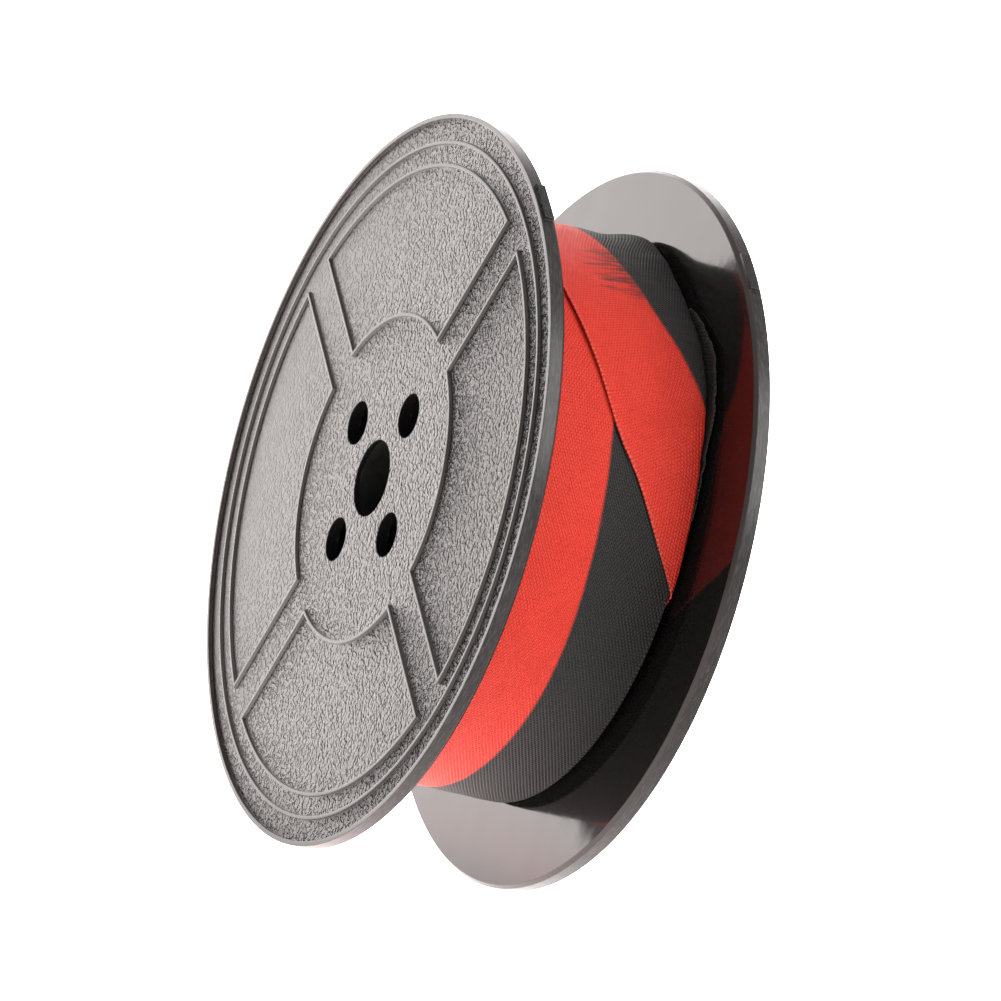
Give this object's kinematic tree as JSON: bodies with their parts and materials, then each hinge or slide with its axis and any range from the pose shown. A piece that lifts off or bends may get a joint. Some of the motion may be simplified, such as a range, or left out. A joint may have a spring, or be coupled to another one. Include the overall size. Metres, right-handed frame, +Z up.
{
  "type": "typewriter ribbon spool",
  "caption": "Two-flange moulded plastic spool with a spindle bore and drive holes, wound full of red and black inked fabric ribbon for a typewriter.",
  "frame": {"origin": "on the spindle axis, halfway between the two outer faces", "axes": "+Y along the spindle axis from the front flange to the rear flange, +Z up, so the spool stands on its rims"},
  "size_m": [0.054, 0.0174, 0.054],
  "materials": {
    "flange_plastic": "black, glossy, with a fine moulded grain on the outer faces",
    "core_plastic": "black moulded, plain",
    "inked_ribbon": "plain-woven nylon ribbon, inked half red and half black",
    "eyelet_brass": "pressed brass, slightly dull"
  },
  "bodies": {
    "root": {"front_flange": "flange_plastic", "rear_flange": "flange_plastic", "hub_drum": "core_plastic", "spindle_tube": "core_plastic", "ribbon_anchor_pin": "core_plastic", "ribbon_windings": "inked_ribbon", "ribbon_outer_turn": "inked_ribbon", "ribbon_loose_end": "inked_ribbon", "reversing_eyelets": "eyelet_brass"}
  },
  "joints": []
}
